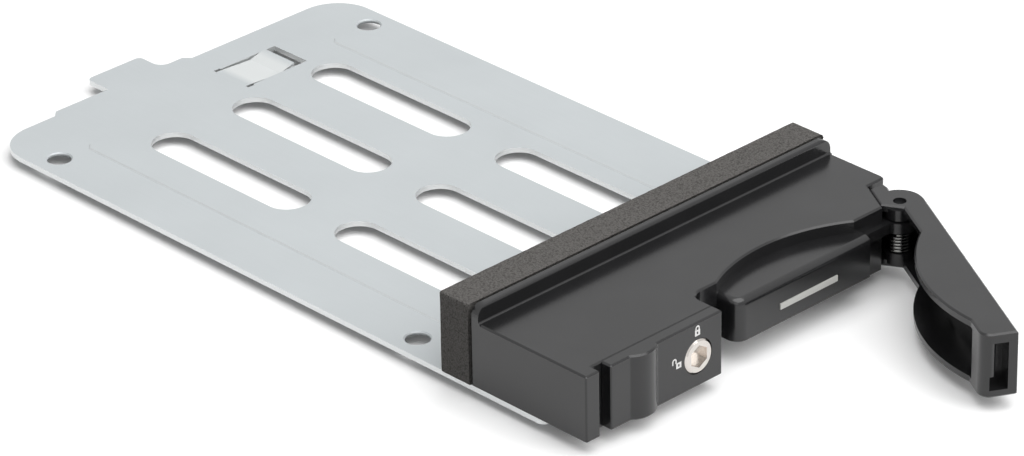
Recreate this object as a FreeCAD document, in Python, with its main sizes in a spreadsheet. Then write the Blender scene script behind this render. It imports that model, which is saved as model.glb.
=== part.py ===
import FreeCAD, Part
import math
import operator
import os
import Sketcher
from types import SimpleNamespace

# Removable tray of a mobile rack for a 2.5 inch drive, lever swung open.
# Frame: origin at the centre of the four drive screw holes on the tray's upper face,
# X to the right seen from the front, Y to the rear, Z up, millimetres.

V = FreeCAD.Vector
doc = FreeCAD.newDocument("DriveTray")
sheet = doc.addObject("Spreadsheet::Sheet", "Sizes")

SIZES = (
    # Tray plate
    ("tray_width", 69.3, "width of plate, gasket and bezel"),
    ("plate_thickness", 0.8, "steel sheet"),
    ("plate_rear", 49.2, "rear edge behind the pattern centre"),
    ("plate_front", 67.0, "front edge ahead of the pattern centre"),
    ("plate_corner", 6.5, "rear corner radius"),
    ("front_corner", 1.5, "front corner radius"),
    ("heel_cut", 1.6, "front edge cut back under the lever's heel"),
    ("step_rise", 1.1, "shallow step of the rear edge"),
    ("step_left", 21.5, "left end of the step, left of centre"),
    ("step_right", 3.4, "right end of the step, right of centre"),
    ("tab_left", 11.3, "left side of the rear tab, left of centre"),
    ("tab_right", 0.9, "right side of the rear tab, left of centre"),
    ("tab_reach", 4.9, "tab beyond the step"),
    ("tab_corner", 0.9, "tab corner radius"),
    ("tab_root", 1.8, "fillet at the tab's right root"),
    ("hole_spacing_x", 61.72, "drive screw spacing across"),
    ("hole_spacing_y", 76.6, "drive screw spacing along"),
    ("hole_diameter", 3.6, "drive screw hole"),
    ("hole_rim", 0.2, "broken upper edge of a drive screw hole"),
    ("sink_diameter", 4.4, "countersink on the underside"),
    ("slot_width", 6.9, "long slot"),
    ("slot_length", 31.8, "long slot over its round ends"),
    ("slot_pitch", 15.9, "slot columns"),
    ("slot_front", 1.5, "front end of the rear row"),
    ("slot_bridge", 8.1, "metal between the two rows"),
    ("bead_offset", 24.4, "stiffening bead from the middle"),
    ("bead_width", 3.0, "bead"),
    ("bead_rise", 0.22, "bead above the sheet"),
    ("bead_rear", 38.4, "rear end of the bead"),
    ("bead_length", 82.0, "bead"),
    ("window_left", 4.4, "left edge of the tongue window, right of centre"),
    ("window_width", 11.5, "window across"),
    ("window_front", 35.9, "front edge of the window"),
    ("window_depth", 7.3, "window along"),
    ("tongue_gap", 0.3, "cut line along each side of the tongue"),
    ("tongue_length", 9.2, "lanced spring tongue"),
    ("tongue_dip", 0.35, "hollow of the tongue below the sheet's face"),
    ("tongue_lift", 0.45, "turned up end of the tongue above the sheet's face"),
    ("tongue_thickness", 0.42, "tongue"),
    # Gasket and bezel
    ("gasket_depth", 5.7, "foam strip along Y"),
    ("gasket_gap", 0.2, "gap between foam and bezel"),
    ("gasket_overhang", 0.35, "foam past each side of the tray"),
    ("gasket_height", 12.5, "foam strip and back wall above the plate"),
    ("gasket_corner", 0.8, "foam top corner radius"),
    ("wall_rear", 53.2, "rear face of the bezel ahead of the pattern centre"),
    ("wall_thickness", 1.3, "raised back wall"),
    ("wall_corner", 1.8, "top corner radius of the back wall"),
    ("wall_front_round", 0.45, "upper front edge of the back wall"),
    ("wall_rear_round", 0.3, "upper rear edge of the back wall"),
    ("wall_foot", 0.3, "fillet at the foot of the back wall"),
    ("bezel_front", 75.0, "front of the bezel ahead of the pattern centre"),
    ("bezel_height", 10.0, "main height of the bezel"),
    ("skin", 1.6, "moulded wall"),
    ("back_skin", 2.0, "rear wall of the hollow"),
    ("edge_round", 0.25, "soft outer edges of the mouldings"),
    ("corner_back", 65.0, "front end of the right side wall ahead of the pattern centre"),
    ("side_corner", 0.6, "upright corner at the front end of the right side wall"),
    ("screw_pitch", 26.0, "outer plate screws from the middle"),
    ("screw_side", 4.5, "middle plate screw from the light bar"),
    ("screw_line", 59.5, "plate screws ahead of the pattern centre"),
    ("screw_diameter", 1.9, "plate screw shank"),
    ("screw_head", 3.4, "plate screw head"),
    ("screw_length", 6.0, "plate screw"),
    ("screw_fit", 0.05, "radial room round a screw"),
    ("boss_width", 4.4, "square screw boss"),
    # Latch and lock
    ("tip_gap", 0.45, "gap between the shut lever's tip and the latch block"),
    ("post_width", 2.6, "post at the left end of the latch block"),
    ("slider_proud", 0.2, "face ahead of the bezel"),
    ("face_thickness", 1.7, "face of the slider"),
    ("latch_travel", 1.7, "slide of the latch"),
    ("stop_gap", 0.15, "room left at the end of the slide"),
    ("slide_room", 0.1, "flat sliding clearance"),
    ("guide_wall", 1.0, "wall that the slider's rail rides on"),
    ("rail_inset", 4.2, "left end of the rail from the slider's left end"),
    ("rail_depth", 2.3, "rail behind the guide wall"),
    ("rail_height", 6.5, "rail"),
    ("neck_height", 5.0, "neck between face and rail"),
    ("tongue_reach", 1.5, "latch tongue beyond the block"),
    ("tongue_tall", 1.4, "latch tongue height"),
    ("wave_start", 3.75, "foot of the thumb wave from the slider's left end"),
    ("wave_width", 5.0, "thumb wave"),
    ("wave_rise", 1.0, "thumb wave ahead of the face"),
    ("wave_foot", 0.5, "fillet at each foot of the thumb wave"),
    ("lug_width", 1.7, "stop lug on the rail"),
    ("lug_reach", 1.1, "stop lug behind the rail"),
    ("peg_diameter", 1.3, "spring pegs"),
    ("peg_length", 1.4, "spring pegs"),
    ("coil_diameter", 1.9, "latch spring, mean"),
    ("coil_wire", 0.35, "latch spring wire"),
    ("coil_turns", 7, "latch spring"),
    ("lock_inset", 4.6, "lock axis from the slider's right end"),
    ("lock_height", 4.72, "lock axis above the plate"),
    ("lock_face", 5.2, "lock plug face diameter"),
    ("lock_rim", 1.1, "thickness of the plug's face"),
    ("lock_proud", 0.15, "plug face ahead of the slider"),
    ("lock_barrel", 4.0, "lock plug barrel diameter"),
    ("lock_fit", 0.05, "radial running room of the plug"),
    ("lock_socket", 3.0, "hexagon across flats"),
    ("lock_socket_depth", 1.6, "hexagon"),
    ("cam_thickness", 0.8, "cam leaf"),
    ("cam_width", 3.4, "cam leaf"),
    ("cam_reach", 4.1, "cam leaf from the axis"),
    ("cam_stub", 2.6, "stub of the plug that carries the cam"),
    ("cam_room", 0.2, "room over the raised cam"),
    ("cam_screw_shank", 1.6, "cam screw"),
    ("cam_screw_head", 3.0, "cam screw head"),
    ("cam_screw_tall", 0.9, "cam screw head"),
    ("cam_screw_length", 2.4, "cam screw in the plug"),
    # Lever and hinge
    ("pin_front", 71.05, "hinge axis ahead of the pattern centre"),
    ("pin_diameter", 1.9, "hinge pin"),
    ("pin_fit", 0.05, "radial running room in the knuckle"),
    ("pin_grip", 0.01, "radial room in the lever's plates"),
    ("pin_sunk", 1.0, "pin end below the lever's faces"),
    ("lever_open", 60.5, "opening angle from shut"),
    ("lever_length", 39.6, "hinge axis to tip"),
    ("lever_height", 9.8, "lever"),
    ("lever_outer", 3.6, "hinge axis to the outer face"),
    ("lever_plate", 1.1, "upper and lower plates"),
    ("lever_wall", 1.2, "outer wall"),
    ("hub_wall", 0.65, "wall round the hub"),
    ("lens_from_tip", 16.3, "middle of the bulge from the tip"),
    ("lens_radius", 26.0, "curve of the bulge"),
    ("lens_bulge", 4.2, "bulge past the hinge axis"),
    ("heel_edge", 2.85, "heel's straight edge from the hinge axis"),
    ("heel_tip", 0.2, "end of the heel towards the tip"),
    ("heel_slope", 1.9, "foot of the heel on the straight inner edge"),
    ("heel_room", 0.15, "gap to the bezel's stop edge when open"),
    ("claw_reach", 5.4, "claw behind the hinge axis"),
    ("claw_inner", 0.35, "claw's near side from the hinge axis"),
    ("nose_inner", 1.5, "inner side of the tip block"),
    ("nose_round", 1.6, "inner corner of the tip"),
    ("nose_length", 4.0, "tip block"),
    ("catch_inner", 0.3, "inner side of the catch pocket"),
    ("catch_width", 2.6, "catch pocket"),
    ("catch_depth", 2.6, "catch pocket"),
    ("catch_round", 1.1, "rounded lead-in over the latch tongue's notch"),
    ("bay_room", 0.35, "room round the shut lever"),
    ("plate_room", 0.6, "room between lever plates and light block"),
    ("knuckle_diameter", 5.0, "hinge knuckle"),
    ("knuckle_low", 5.8, "underside of the knuckle above the plate"),
    ("knuckle_tall", 1.6, "hinge knuckle"),
    ("web_ahead", 0.55, "web that carries the knuckle, ahead of the axis"),
    ("web_behind", 1.4, "web that carries the knuckle, behind the axis"),
    ("collar_diameter", 4.2, "collars on the lever's two plates"),
    ("collar_room", 0.2, "axial room over the knuckle"),
    ("collar_low", 2.4, "top of the lower collar, the torsion spring's seat"),
    ("torsion_diameter", 3.6, "torsion spring, mean"),
    ("torsion_wire", 0.42, "torsion spring wire"),
    ("torsion_turns", 5, "torsion spring"),
    ("torsion_pitch", 0.5, "torsion spring"),
    ("torsion_leg", 6.0, "leg along the lever's wall"),
    ("torsion_foot", 2.2, "leg that bears on the bezel"),
    # Light block and light pipe
    ("block_tip_gap", 0.75, "left end of the light block from the lever's tip block"),
    ("block_hinge_gap", 8.25, "right end of the light block from the hinge axis"),
    ("block_front", 73.1, "face of the light block ahead of the pattern centre"),
    ("block_corner", 1.8, "left front corner radius"),
    ("block_edge", 1.05, "upper front and left edge radius"),
    ("light_inset", 8.4, "left end of the light bar from the light block's left end"),
    ("light_width", 11.5, "light bar"),
    ("light_height", 4.25, "middle of the light bar above the plate"),
    ("light_thick", 0.9, "light bar"),
    ("light_proud", 0.15, "light bar ahead of its block"),
    ("light_room", 0.05, "room round the light bar"),
    ("light_margin", 0.4, "lever window round the light bar"),
)


class Size:
    """A number with the spreadsheet expression that gives it."""

    def __init__(self, value, text):
        self.value = float(value)
        self.text = text

    def __add__(self, other):
        return joined(self, other, "+", operator.add)

    def __radd__(self, other):
        return joined(other, self, "+", operator.add)

    def __sub__(self, other):
        return joined(self, other, "-", operator.sub)

    def __rsub__(self, other):
        return joined(other, self, "-", operator.sub)

    def __mul__(self, other):
        return joined(self, other, "*", operator.mul)

    def __truediv__(self, other):
        return joined(self, other, "/", operator.truediv)

    def __neg__(self):
        return Size(-self.value, "-1 * " + self.text)


def as_size(item):
    return item if isinstance(item, Size) else Size(item, repr(float(item)))


def joined(left, right, sign, action):
    left = as_size(left)
    right = as_size(right)
    return Size(action(left.value, right.value), "(%s %s %s)" % (left.text, sign, right.text))


def turned(name, action, angle):
    return Size(action(math.radians(angle.value)), "%s(%s * 1 deg)" % (name, angle.text))


s = SimpleNamespace()
for row, (name, value, note) in enumerate(SIZES, start=1):
    sheet.set("A%d" % row, name)
    sheet.set("B%d" % row, str(value))
    sheet.set("C%d" % row, note)
    sheet.setAlias("B%d" % row, name)
    setattr(s, name, Size(value, "Sizes." + name))
doc.recompute()


# Sketches and features

PLANES = {"z": "XY_Plane", "y": "XZ_Plane", "x": "YZ_Plane"}


def new_body(name):
    body = doc.addObject("PartDesign::Body", name)
    body.Label = name
    return body


def sketch_on(body, name, axis, offset):
    sketch = body.newObject("Sketcher::SketchObject", name)
    role = PLANES[axis]
    plane = [item for item in body.Origin.OriginFeatures if item.Role == role][0]
    sketch.AttachmentSupport = [(plane, "")]
    sketch.MapMode = "FlatFace"
    offset = as_size(offset)
    sketch.AttachmentOffset = FreeCAD.Placement(V(0, 0, offset.value), FreeCAD.Rotation())
    sketch.setExpression("AttachmentOffset.Base.z", offset.text)
    return sketch


def fix(sketch, kind, size, *where):
    size = as_size(size)
    if size.text == "0.0":
        axis = -2 if kind == "DistanceX" else -1
        sketch.addConstraint(Sketcher.Constraint("PointOnObject", *where, axis))
        return
    index = sketch.addConstraint(Sketcher.Constraint(kind, *where, size.value))
    sketch.setExpression("Constraints[%d]" % index, size.text)


def outline(sketch, points, arcs=None):
    """A closed outline. A point is x, y and which of them is fixed.

    An arc replaces the line after the point of its index: centre x, y, radius, counterclockwise."""
    arcs = arcs or {}
    points = [(as_size(p[0]), as_size(p[1]), p[2] if len(p) > 2 else "xy") for p in points]
    ends = []
    for index, point in enumerate(points):
        follower = points[(index + 1) % len(points)]
        a = V(point[0].value, point[1].value, 0)
        b = V(follower[0].value, follower[1].value, 0)
        if index in arcs:
            cx, cy, radius, left_turn = arcs[index]
            centre = V(as_size(cx).value, as_size(cy).value, 0)
            first, last = (a, b) if left_turn else (b, a)
            start = math.atan2(first.y - centre.y, first.x - centre.x)
            end = math.atan2(last.y - centre.y, last.x - centre.x)
            circle = Part.Circle(centre, V(0, 0, 1), as_size(radius).value)
            number = sketch.addGeometry(Part.ArcOfCircle(circle, start, end))
            ends.append((number, 1, 2) if left_turn else (number, 2, 1))
        else:
            number = sketch.addGeometry(Part.LineSegment(a, b))
            ends.append((number, 1, 2))
    for index in range(len(ends)):
        number, _, end = ends[index]
        follower, start, _ = ends[(index + 1) % len(ends)]
        sketch.addConstraint(Sketcher.Constraint("Coincident", number, end, follower, start))
    for (x, y, held), (number, start, _) in zip(points, ends):
        if "x" in held:
            fix(sketch, "DistanceX", x, number, start)
        if "y" in held:
            fix(sketch, "DistanceY", y, number, start)
    for index, (cx, cy, radius, _) in arcs.items():
        number = ends[index][0]
        fix(sketch, "DistanceX", cx, number, 3)
        fix(sketch, "DistanceY", cy, number, 3)
        fix(sketch, "Radius", radius, number)
    return sketch


def box_points(x0, x1, y0, y1):
    return [(x0, y0), (x1, y0), (x1, y1), (x0, y1)]


def disc(sketch, x, y, radius):
    circle = Part.Circle(V(as_size(x).value, as_size(y).value, 0), V(0, 0, 1), as_size(radius).value)
    number = sketch.addGeometry(circle)
    fix(sketch, "DistanceX", x, number, 3)
    fix(sketch, "DistanceY", y, number, 3)
    fix(sketch, "Radius", radius, number)
    return sketch


def extrude(body, name, axis, low, high, draw, cut=False):
    """A pad or pocket from low to high along an axis, from the outline that draw adds."""
    low = as_size(low)
    high = as_size(high)
    # the plane across Y faces forward, so its offset runs the other way
    sketch = sketch_on(body, name + "_sketch", axis, -high if axis == "y" else low)
    draw(sketch)
    before = body.Shape.Volume if body.Tip else 0.0
    kind = "PartDesign::Pocket" if cut else "PartDesign::Pad"
    feature = body.newObject(kind, name)
    feature.Profile = sketch
    feature.Reversed = cut
    feature.setExpression("Length", (high - low).text)
    sketch.Visibility = False
    doc.recompute()
    change = body.Shape.Volume - before
    if abs(change) < 1e-3 or (change > 0) == cut:
        raise RuntimeError("%s changes nothing" % name)
    return feature


def block(body, name, x0, x1, y0, y1, z0, z1, cut=False):
    return extrude(body, name, "z", z0, z1, lambda k: outline(k, box_points(x0, x1, y0, y1)), cut)


def edge_names(feature, test):
    names = []
    for number, edge in enumerate(feature.Shape.Edges, start=1):
        middle = edge.valueAt((edge.FirstParameter + edge.LastParameter) / 2)
        span = edge.Vertexes[-1].Point - edge.Vertexes[0].Point
        if test(middle, span):
            names.append("Edge%d" % number)
    return names


def near(a, b, room=0.02):
    return abs(a - as_size(b).value) < room


def upright(span):
    return abs(span.z) > 0.05 and abs(span.x) < 1e-6 and abs(span.y) < 1e-6


def soften(body, name, radius, test, kind="PartDesign::Fillet"):
    base = body.Tip
    picked = edge_names(base, test)
    if not picked:
        raise RuntimeError("%s finds no edge" % name)
    feature = body.newObject(kind, name)
    feature.Base = (base, picked)
    feature.setExpression("Radius" if kind.endswith("Fillet") else "Size", as_size(radius).text)
    doc.recompute()
    return feature


def round_upright(body, name, radius, places):
    """Round the upright edges at these places in plan."""
    spots = [(as_size(x), as_size(y)) for x, y in places]
    return soften(body, name, radius, lambda m, d: upright(d) and any(
        near(m.x, x) and near(m.y, y) for x, y in spots))


half = s.tray_width / 2
# the lever's hub is flush with the tray's right side, and the latch block meets the lever's tip
pin_side = half - s.lever_outer
latch_end = s.lever_length - pin_side + s.tip_gap
slider_width = half - latch_end - s.post_width - s.latch_travel - s.stop_gap
lens_centre = s.lever_length - s.lens_from_tip
block_left = s.lever_length - s.nose_length - pin_side - s.block_tip_gap
block_right = pin_side - s.block_hinge_gap
light_left = s.light_inset - block_left
light_right = light_left + s.light_width
lock_left = latch_end + s.lock_inset

# Tray plate

plate = new_body("tray_plate")
step_y = s.plate_rear + s.step_rise
tab_y = step_y + s.tab_reach
extrude(plate, "sheet", "z", -s.plate_thickness, 0, lambda k: outline(k, [
    (-half, -s.plate_front),
    (half, -s.plate_front),
    (half, s.plate_rear),
    (s.step_right + s.step_rise, s.plate_rear),
    (s.step_right, step_y),
    (-s.tab_right, step_y),
    (-s.tab_right, tab_y),
    (-s.tab_left, tab_y),
    (-s.tab_left, step_y),
    (-s.step_left, step_y),
    (-s.step_left - s.step_rise, s.plate_rear),
    (-half, s.plate_rear),
]))
round_upright(plate, "rear_corners", s.plate_corner, [(half, s.plate_rear), (-half, s.plate_rear)])
round_upright(plate, "front_corners", s.front_corner, [(half, -s.plate_front), (-half, -s.plate_front)])
round_upright(plate, "tab_corners", s.tab_corner, [(-s.tab_right, tab_y), (-s.tab_left, tab_y)])
round_upright(plate, "tab_root_fillet", s.tab_root, [(-s.tab_right, step_y)])

# beads pressed up out of the sheet, with their hollow below
for side, sign in (("left", -1), ("right", 1)):
    middle = s.bead_offset * sign
    for part, inset, cut in (("bead", 0.0, False), ("groove", s.bead_rise * 1.4, True)):
        wide = s.bead_width / 2 - inset
        ahead = s.bead_rear - s.bead_length + inset
        behind = s.bead_rear - inset
        blunt = wide * 0.6
        extrude(plate, side + "_" + part, "z", -s.plate_thickness if cut else -s.bead_rise,
                s.bead_rise - s.plate_thickness if cut else s.bead_rise,
                lambda k: outline(k, [
                    (middle - wide + blunt, ahead),
                    (middle + wide - blunt, ahead),
                    (middle + wide, ahead + blunt),
                    (middle + wide, behind - blunt),
                    (middle + wide - blunt, behind),
                    (middle - wide + blunt, behind),
                    (middle - wide, behind - blunt),
                    (middle - wide, ahead + blunt),
                ]), cut)
soften(plate, "bead_edges", s.bead_rise * 0.9, lambda m, d: near(m.z, s.bead_rise), "PartDesign::Chamfer")

# two rows of three long slots
slot_half = s.slot_width / 2
rear_row = (s.slot_front, s.slot_front + s.slot_length)
front_row = (s.slot_front - s.slot_bridge - s.slot_length, s.slot_front - s.slot_bridge)


def slot(sketch, x, ahead, behind):
    outline(sketch, [
        (x - slot_half, ahead + slot_half, "y"),
        (x + slot_half, ahead + slot_half, "y"),
        (x + slot_half, behind - slot_half, "y"),
        (x - slot_half, behind - slot_half, "y"),
    ], {0: (x, ahead + slot_half, slot_half, True), 2: (x, behind - slot_half, slot_half, True)})


def slot_pair(sketch):
    slot(sketch, -s.slot_pitch, *rear_row)
    slot(sketch, -s.slot_pitch, *front_row)


slots = extrude(plate, "slots", "z", -s.plate_thickness * 2, s.plate_thickness, slot_pair, True)
columns = plate.newObject("PartDesign::LinearPattern", "slot_columns")
columns.Originals = [slots]
columns.Direction = (slots.Profile[0], ["H_Axis"])
columns.setExpression("Length", (s.slot_pitch * 2).text)
columns.Occurrences = 3
plate.Tip = columns
doc.recompute()

# window with a lanced spring tongue, pressed thin, dipping and turned up at its end
window_right = s.window_left + s.window_width
window_back = s.window_front + s.window_depth
block(plate, "window", s.window_left, window_right, s.window_front, window_back,
      -s.plate_thickness * 2, s.plate_thickness, True)
tongue_end = s.window_left + s.tongue_length
hollow = s.window_left + s.tongue_length * 0.68
extrude(plate, "spring_tongue", "y", s.window_front + s.tongue_gap, window_back - s.tongue_gap,
        lambda k: outline(k, [
            (s.window_left - s.tongue_thickness, -s.tongue_thickness),
            (s.window_left, -s.tongue_thickness),
            (hollow, -s.tongue_dip - s.tongue_thickness),
            (tongue_end, s.tongue_lift - s.tongue_thickness),
            (tongue_end, s.tongue_lift),
            (hollow, -s.tongue_dip),
            (s.window_left, 0),
            (s.window_left - s.tongue_thickness, 0),
        ]))
notch = s.tongue_gap * 2
for name, y0, y1 in (("front", s.window_front - s.tongue_gap, s.window_front + s.tongue_gap),
                     ("rear", window_back - s.tongue_gap, window_back + s.tongue_gap)):
    block(plate, name + "_relief", s.window_left - notch, s.window_left + notch, y0, y1,
          -s.plate_thickness * 2, s.plate_thickness, True)


def countersunk(body, name, places, diameter, sink):
    sketch = sketch_on(body, name + "_sketch", "z", -s.plate_thickness)
    for x, y in places:
        disc(sketch, x, y, diameter / 2)
    sketch.Visibility = False
    doc.recompute()
    feature = body.newObject("PartDesign::Hole", name)
    feature.Profile = sketch
    doc.recompute()
    feature.Threaded = False
    feature.ThreadType = 0
    feature.DepthType = "ThroughAll"
    feature.setExpression("Diameter", diameter.text)
    feature.HoleCutType = "Countersink"
    feature.HoleCutCustomValues = True
    feature.setExpression("HoleCutDiameter", sink.text)
    feature.HoleCutCountersinkAngle = 90
    before = body.Shape.Volume
    feature.Reversed = True
    doc.recompute()
    if body.Shape.Volume > before - 1e-3 and body.Tip == feature:
        feature.Reversed = False
        doc.recompute()
    return feature


pattern_x = s.hole_spacing_x / 2
pattern_y = s.hole_spacing_y / 2
countersunk(plate, "drive_holes", [(sx * pattern_x, sy * pattern_y) for sx, sy in
                                   ((Size(a, str(a)), Size(b, str(b))) for a, b in
                                    ((-1, -1), (1, -1), (1, 1), (-1, 1)))],
            s.hole_diameter, s.sink_diameter)
soften(plate, "hole_rims", s.hole_rim, lambda m, d: near(m.z, 0) and d.Length < 1e-6
       and near(abs(m.x), pattern_x, s.hole_diameter.value)
       and near(abs(m.y), pattern_y, s.hole_diameter.value), "PartDesign::Chamfer")
screw_spots = [(x, -s.screw_line) for x in (-s.screw_pitch, light_left - s.screw_side, s.screw_pitch)]
countersunk(plate, "screw_holes", screw_spots, s.screw_diameter + s.screw_fit * 2,
            s.screw_head + s.screw_fit * 2)
# corner cut away under the lever's heel
block(plate, "heel_corner", pin_side - s.claw_reach, half + 1, -s.plate_front - 1, s.heel_cut - s.plate_front,
      -s.plate_thickness * 2, s.plate_thickness, True)

# Foam gasket

gasket = new_body("foam_gasket")
foam_half = half + s.gasket_overhang
foam_front = -s.wall_rear + s.gasket_gap
foam_back = foam_front + s.gasket_depth
light_low = s.light_height - s.light_thick / 2
light_high = s.light_height + s.light_thick / 2
block(gasket, "strip", -foam_half, foam_half, foam_front, foam_back, 0, s.gasket_height)
soften(gasket, "strip_ends", s.gasket_corner, lambda m, d: near(m.z, s.gasket_height)
       and near(abs(m.x), foam_half))
block(gasket, "light_window", light_left - s.light_margin, light_right + s.light_margin,
      foam_front - 1, foam_back + 1, light_low - s.light_margin, light_high + s.light_margin, True)

# Bezel: hollow moulding with the latch block at the left and the lever's bay at the right

slider_left = -latch_end - slider_width
recess_left = slider_left - s.latch_travel - s.stop_gap
face_front = -s.bezel_front - s.slider_proud
face_back = face_front + s.face_thickness
guide_front = face_back + s.slide_room
guide_back = guide_front + s.guide_wall
rail_front = guide_back + s.slide_room
rail_back = rail_front + s.rail_depth
rail_left = slider_left + s.rail_inset
rail_middle = rail_front + s.rail_depth / 2
nose_back = -s.pin_front + s.nose_inner + s.bay_room
hinge_back = -s.pin_front + s.bay_room
lens_x = pin_side - lens_centre
lens_y = -s.pin_front - s.lens_radius + s.lens_bulge
bay_radius = s.lens_radius + s.bay_room
open_sin = turned("sin", math.sin, s.lever_open)
open_tan = turned("tan", math.tan, s.lever_open)
roof = s.bezel_height - s.skin
inner_left = -half + s.skin
inner_right = -latch_end - s.skin
inner_back = -s.wall_rear - s.back_skin


def stop_edge(y):
    """X of the slanted edge that the open lever's heel lies along."""
    return pin_side - (s.heel_edge + s.heel_room) / open_sin + (y + s.pin_front) / open_tan


def arc_end(y, radius, side):
    """X where a circle round the bay's centre meets a level, to place the drawn point near it."""
    reach = math.sqrt(radius.value ** 2 - (y.value - lens_y.value) ** 2)
    return lens_x.value + side * reach


bezel = new_body("bezel")
extrude(bezel, "body", "z", 0, s.bezel_height, lambda k: outline(k, [
    (-half, -s.bezel_front),
    (recess_left, -s.bezel_front),
    (recess_left, guide_front),
    (-latch_end, guide_front),
    (-latch_end, nose_back),
    (arc_end(nose_back, bay_radius, -1), nose_back, "y"),
    (arc_end(hinge_back, bay_radius, 1), hinge_back, "y"),
    (stop_edge(hinge_back), hinge_back),
    (stop_edge(-s.corner_back), -s.corner_back),
    (half, -s.corner_back),
    (half, -s.wall_rear),
    (-half, -s.wall_rear),
], {5: (lens_x, lens_y, bay_radius, False)}))
round_upright(bezel, "post_edges", s.edge_round, [(-half, -s.bezel_front), (recess_left, -s.bezel_front)])
round_upright(bezel, "bay_corner", s.nose_round + s.bay_room, [(-latch_end, nose_back)])
round_upright(bezel, "side_corner_round", s.side_corner, [(half, -s.corner_back)])
soften(bezel, "top_edges", s.edge_round, lambda m, d: near(m.z, s.bezel_height)
       and not near(m.y, -s.wall_rear), "PartDesign::Chamfer")

# back wall against the gasket, with rounded upper edges and ends
wall_front = -s.wall_rear - s.wall_thickness
foot_front = wall_front - s.wall_foot
foot_high = s.bezel_height + s.wall_foot
wall_top = s.gasket_height
front_arc = (wall_front + s.wall_front_round, wall_top - s.wall_front_round)
rear_arc = (-s.wall_rear - s.wall_rear_round, wall_top - s.wall_rear_round)
extrude(bezel, "back_wall", "x", -half, half, lambda k: outline(k, [
    (-s.wall_rear, s.bezel_height - s.skin / 2),
    (-s.wall_rear, rear_arc[1], "y"),
    (rear_arc[0], wall_top, "x"),
    (front_arc[0], wall_top, "x"),
    (wall_front, front_arc[1], "y"),
    (wall_front, foot_high, "y"),
    (foot_front, s.bezel_height, "x"),
    (foot_front, s.bezel_height - s.skin / 2),
], {1: (*rear_arc, s.wall_rear_round, True), 3: (*front_arc, s.wall_front_round, True),
    5: (foot_front, foot_high, s.wall_foot, False)}))
corner_low = wall_top - s.wall_corner
for name, side in (("left", -half), ("right", half)):
    turn_left = name == "left"
    inward = s.wall_corner if turn_left else -s.wall_corner
    outward = -1 if turn_left else 1
    extrude(bezel, name + "_wall_end", "y", foot_front, -s.wall_rear + 1, lambda k: outline(k, [
        (side + inward, wall_top, "x"),
        (side, corner_low, "y"),
        (side + outward, corner_low),
        (side + outward, wall_top + 1),
        (side + inward, wall_top + 1),
    ], {0: (side + inward, corner_low, s.wall_corner, turn_left)}), True)

# light block between the plates of the shut lever
block_low = s.lever_plate + s.plate_room
block_high = s.lever_height - s.lever_plate - s.plate_room
block(bezel, "light_block", -block_left, block_right, -s.block_front, -s.corner_back,
      block_low, block_high)
round_upright(bezel, "block_corner_round", s.block_corner, [(-block_left, -s.block_front)])
corner_right = s.block_corner - block_left
soften(bezel, "block_edge_round", s.block_edge, lambda m, d: near(m.z, block_high)
       and (near(m.y, -s.block_front) or m.x < corner_right.value))

# hinge knuckle on its web
knuckle_high = s.knuckle_low + s.knuckle_tall
block(bezel, "web", block_right - s.skin, pin_side, -s.pin_front - s.web_ahead,
      -s.pin_front + s.web_behind, s.knuckle_low, knuckle_high)
extrude(bezel, "knuckle", "z", s.knuckle_low, knuckle_high,
        lambda k: disc(k, pin_side, -s.pin_front, s.knuckle_diameter / 2))
extrude(bezel, "pin_bore", "z", 0, s.bezel_height,
        lambda k: disc(k, pin_side, -s.pin_front, s.pin_diameter / 2 + s.pin_fit), True)

# hollow underside
block(bezel, "latch_chamber", inner_left, inner_right, guide_back, inner_back, -1, roof, True)
block(bezel, "middle_chamber", -latch_end, half - s.skin, -s.corner_back + s.skin, inner_back,
      -1, roof, True)
block(bezel, "block_hollow", -block_left + s.skin, block_right - s.skin, -s.block_front + s.skin,
      -s.corner_back - s.skin, 0, block_high - s.skin, True)


def boss_squares(sketch):
    reach = s.boss_width / 2
    for x, y in screw_spots:
        outline(sketch, box_points(x - reach, x + reach, y - reach, y + reach))


def pilot_discs(sketch):
    for x, y in screw_spots:
        disc(sketch, x, y, s.screw_diameter / 2 + s.screw_fit)


extrude(bezel, "screw_bosses", "z", 0, s.bezel_height - s.skin / 2, boss_squares)
extrude(bezel, "screw_pilots", "z", -1, s.screw_length, pilot_discs, True)

# guides, stop and spring seat of the latch
neck_low = s.lock_height - s.neck_height / 2
neck_high = s.lock_height + s.neck_height / 2
rail_low = s.lock_height - s.rail_height / 2
rail_high = s.lock_height + s.rail_height / 2
block(bezel, "guide_slot", rail_left - s.latch_travel - s.stop_gap * 2, -latch_end + 1,
      guide_front - s.guide_wall / 2, guide_back + s.guide_wall / 2,
      neck_low - s.slide_room, neck_high + s.slide_room, True)
block(bezel, "rail_gate", inner_right - 1, -latch_end + 1, guide_back, rail_back + s.slide_room,
      rail_low - s.slide_room, rail_high + s.slide_room, True)
lug_left = rail_left + s.lug_width / 2
lug_right = lug_left + s.lug_width
lug_low = s.lock_height + s.cam_width / 2 + s.cam_room
block(bezel, "stop_rib", lug_right + s.slide_room, lug_right + s.skin, rail_back + s.slide_room,
      rail_back + s.lug_reach * 2, lug_low, s.bezel_height - s.skin / 2)
extrude(bezel, "spring_seat", "x", inner_left - s.skin / 2, inner_left + s.peg_length,
        lambda k: disc(k, rail_middle, s.lock_height, s.peg_diameter / 2))
cam_front = rail_back + s.slide_room
cam_back = cam_front + s.cam_thickness
block(bezel, "cam_groove", -lock_left - s.cam_reach - s.latch_travel,
      -lock_left + s.cam_width / 2 + s.cam_room, cam_front - s.cam_room, cam_back + s.cam_room,
      s.lock_height, s.lock_height + s.cam_reach + s.cam_room, True)

# slot for the light bar, right through to the rear face
block(bezel, "light_slot", light_left - s.light_room, light_right + s.light_margin,
      -s.block_front - 1, -s.wall_rear + 1, light_low - s.light_room, light_high + s.light_room, True)

# Light pipe

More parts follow.
